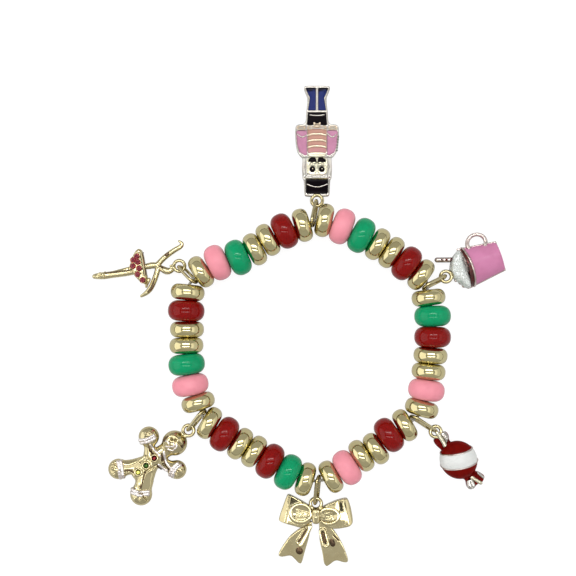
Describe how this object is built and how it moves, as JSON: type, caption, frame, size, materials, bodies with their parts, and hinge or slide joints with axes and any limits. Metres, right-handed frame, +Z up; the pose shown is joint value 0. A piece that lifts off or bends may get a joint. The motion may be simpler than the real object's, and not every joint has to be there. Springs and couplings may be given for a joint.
{
  "type": "beaded stretch charm bracelet",
  "caption": "Stretch bracelet of round drilled beads on an elastic cord, with cast and enamelled winter charms hung on jump rings, lying open in a loop.",
  "frame": {"origin": "centre of the footprint on the surface that the bracelet lies on", "axes": "+Z up out of that surface, +Y towards the nutcracker charm, +X towards the mug and candy charms"},
  "size_m": [0.1129, 0.1311, 0.0099],
  "materials": {
    "bead_gold": "polished pale champagne gold plate over a light core",
    "bead_red": "opaque, polished",
    "bead_green": "opaque, polished",
    "bead_pink": "opaque, polished",
    "elastic": "clear to milky elastic cord",
    "link_gold": "polished gold plate",
    "charm_gold": "polished gold plate on a zinc casting, with small set stones",
    "pale_casting": "polished pale gold plate, with blue and black enamel details",
    "mug_casting": "polished pale gold plate, with enamel and glitter details",
    "coat_enamel": "glossy soft enamel",
    "black_enamel": "glossy soft enamel",
    "mug_enamel": "glossy soft enamel",
    "cream_glitter": "white enamel full of fine glitter",
    "white_glitter": "white enamel full of fine glitter",
    "candy_enamel": "glossy dark red enamel on a pale gold casting"
  },
  "bodies": {
    "root": {"ballerina_charm": "charm_gold", "bead_01_gold": "bead_gold", "bead_02_pink": "bead_pink", "bead_03_green": "bead_green", "bead_04_gold": "bead_gold", "bead_05_gold": "bead_gold", "bead_06_red": "bead_red", "bead_07_gold": "bead_gold", "bead_08_gold": "bead_gold", "bead_09_green": "bead_green", "bead_10_red": "bead_red", "bead_11_gold": "bead_gold", "bead_12_gold": "bead_gold", "bead_13_pink": "bead_pink", "bead_14_gold": "bead_gold", "bead_15_gold": "bead_gold", "bead_16_red": "bead_red", "bead_17_gold": "bead_gold", "bead_18_gold": "bead_gold", "bead_19_pink": "bead_pink", "bead_20_gold": "bead_gold", "bead_21_gold": "bead_gold", "bead_22_green": "bead_green", "bead_23_red": "bead_red", "bead_24_gold": "bead_gold", "bead_25_gold": "bead_gold", "bead_26_red": "bead_red", "bead_27_gold": "bead_gold", "bead_28_gold": "bead_gold", "bead_29_pink": "bead_pink", "bead_30_green": "bead_green", "bead_31_gold": "bead_gold", "bead_32_gold": "bead_gold", "bead_33_red": "bead_red", "bead_34_gold": "bead_gold", "bead_35_gold": "bead_gold", "bead_36_pink": "bead_pink", "bead_37_green": "bead_green", "bead_38_gold": "bead_gold", "bead_39_gold": "bead_gold", "bead_40_red": "bead_red", "bead_41_gold": "bead_gold", "bow_charm": "charm_gold", "candy_band": "white_glitter", "candy_casting": "candy_enamel", "elastic_cord": "elastic", "gingerbread_charm": "charm_gold", "link_ballerina": "link_gold", "link_bow": "link_gold", "link_candy": "link_gold", "link_gingerbread": "link_gold", "link_mug": "link_gold", "link_nutcracker": "link_gold", "mug_casting": "mug_casting", "mug_cream": "cream_glitter", "mug_enamel": "mug_enamel", "nutcracker_casting": "pale_casting", "nutcracker_coat": "coat_enamel", "nutcracker_hat": "black_enamel", "nutcracker_trousers": "black_enamel"}
  },
  "joints": []
}
